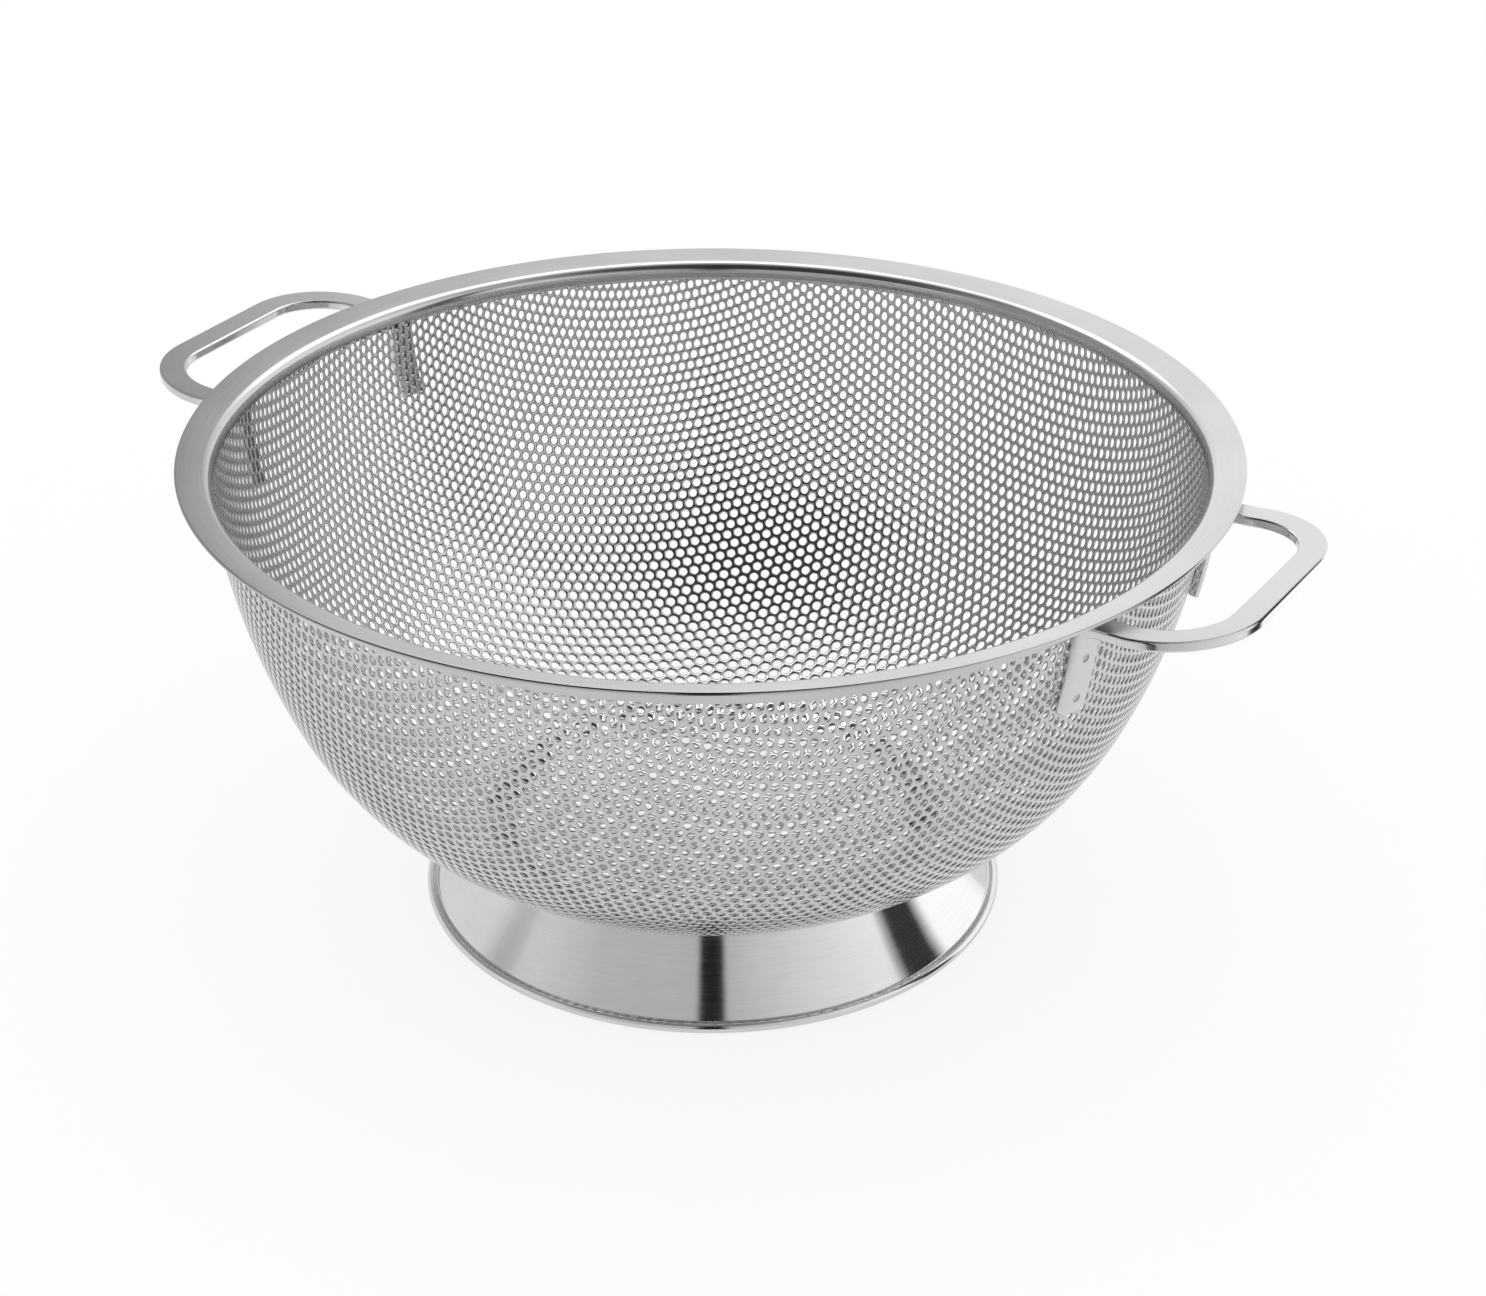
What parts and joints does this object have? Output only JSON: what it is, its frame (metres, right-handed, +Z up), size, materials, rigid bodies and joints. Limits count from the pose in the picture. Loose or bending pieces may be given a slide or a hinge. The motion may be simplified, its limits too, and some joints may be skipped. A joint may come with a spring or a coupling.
{
  "type": "colander",
  "caption": "Footed stainless kitchen colander: a finely perforated bowl with a folded rim band, a flared base ring and two flat bar loop handles.",
  "frame": {"origin": "centre of the circle that the base ring stands on, on the table plane", "axes": "+Z up through the bowl's mouth; +X through the middle of the right handle's side; +Y away from the side that the handles lean toward"},
  "size_m": [0.3348, 0.285, 0.138],
  "materials": {
    "bowl_steel": "perforated stainless sheet, bright",
    "rim_steel": "folded stainless band, polished",
    "base_steel": "spun stainless, mirror polished",
    "handle_steel": "flat stainless bar, satin top and polished edges",
    "weld_steel": "stainless weld, bright"
  },
  "bodies": {
    "root": {"perforated_bowl": "bowl_steel", "rim_band": "rim_steel", "base_ring": "base_steel", "base_ring_spot_welds": "weld_steel", "handle_right": "handle_steel", "handle_right_spot_welds": "weld_steel", "handle_left": "handle_steel", "handle_left_spot_welds": "weld_steel"}
  },
  "joints": []
}
